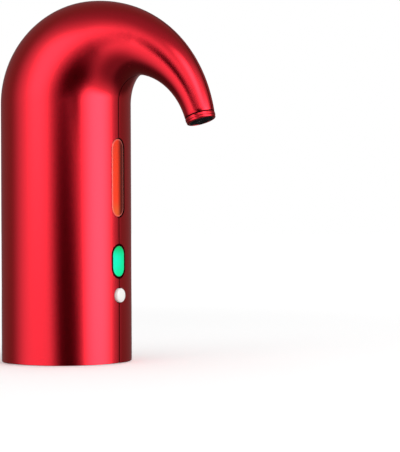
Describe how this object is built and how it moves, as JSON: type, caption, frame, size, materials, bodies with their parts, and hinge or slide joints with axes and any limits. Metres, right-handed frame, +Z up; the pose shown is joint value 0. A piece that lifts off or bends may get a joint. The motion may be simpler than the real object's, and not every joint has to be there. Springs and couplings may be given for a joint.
{
  "type": "electric wine aerator",
  "caption": "Hook-shaped electric wine aerator in a glossy red split housing with a window, a status light, a push button, a bottle socket below and a gear pump inside.",
  "frame": {"origin": "on the body's axis, in the plane of its standing edge, at the mouth of the bottle socket", "axes": "+Z up along the body, +X towards the spout, +Y to the left of someone who looks along +X; the housing parts on Y = 0"},
  "size_m": [0.1106, 0.06, 0.1648],
  "materials": {
    "red_lacquer": "metallic red lacquer on moulded plastic, glossy",
    "grey_silicone": "dark grey silicone, satin",
    "clear_silicone": "translucent food-grade silicone",
    "amber_window": "tinted clear plastic, glossy",
    "green_light": "translucent lens that glows green",
    "white_plastic": "white moulded plastic",
    "black_plastic": "black moulded plastic",
    "clear_plastic": "clear moulded plastic",
    "circuit_board": "green solder mask",
    "led_white": "light-emitting chip in a white package",
    "steel": "plated steel",
    "magnet": "dark sintered magnet",
    "copper": "copper windings on a laminated stack",
    "brass": "brass tabs",
    "cell_wrap": "wrapped lithium cell",
    "wire": "insulated wire"
  },
  "bodies": {
    "housing": {"left_shell": "red_lacquer", "right_shell": "red_lacquer", "nozzle_tip": "red_lacquer", "drip_ring": "grey_silicone", "window_lens": "amber_window", "status_lens": "green_light", "tact_switch": "black_plastic", "main_board": "circuit_board", "status_leds": "led_white", "board_parts": "black_plastic", "bottle_socket": "black_plastic", "neck_cuff": "grey_silicone", "mouth_gasket": "grey_silicone", "inlet_spigot": "white_plastic", "spigot_nut": "white_plastic", "base_screws": "steel", "suction_hose": "clear_silicone", "pump_base": "clear_plastic", "gear_case": "clear_plastic", "motor_mount": "white_plastic", "idler_pin": "steel", "shaft_seal": "grey_silicone", "pump_screws": "steel", "motor_can": "steel", "motor_magnets": "magnet", "motor_end_bell": "white_plastic", "motor_terminals": "brass", "aeration_chamber": "clear_plastic", "chamber_cap": "clear_plastic", "mixing_insert": "white_plastic", "chamber_seal": "grey_silicone", "delivery_hose": "clear_silicone", "battery_cell": "cell_wrap", "battery_tabs": "steel", "charge_board": "circuit_board", "usb_socket": "steel", "battery_leads": "wire", "motor_leads": "wire", "charge_leads": "wire"},
    "button": {"power_button": "white_plastic", "switch_plunger": "black_plastic"},
    "rotor": {"drive_gear": "white_plastic", "motor_shaft": "steel", "motor_armature": "copper"},
    "idler": {"idler_gear": "white_plastic"}
  },
  "joints": [
    {"name": "button_press", "type": "slide", "parent": "housing", "child": "button", "axis": [-1, 0, 0], "range_m": [0, 0.0008], "stiffness_N_per_m": 900, "springref_m": -0.0004},
    {"name": "motor_spin", "type": "hinge", "parent": "housing", "child": "rotor", "pos_m": [0.005, -0.0048, 0.056], "axis": [0, 0, 1], "continuous": true},
    {"name": "idler_spin", "type": "hinge", "parent": "housing", "child": "idler", "pos_m": [0.005, 0.0048, 0.056], "axis": [0, 0, 1], "continuous": true}
  ],
  "couplings": [
    {"joint": "idler_spin", "follows": "motor_spin", "ratio": -1}
  ]
}
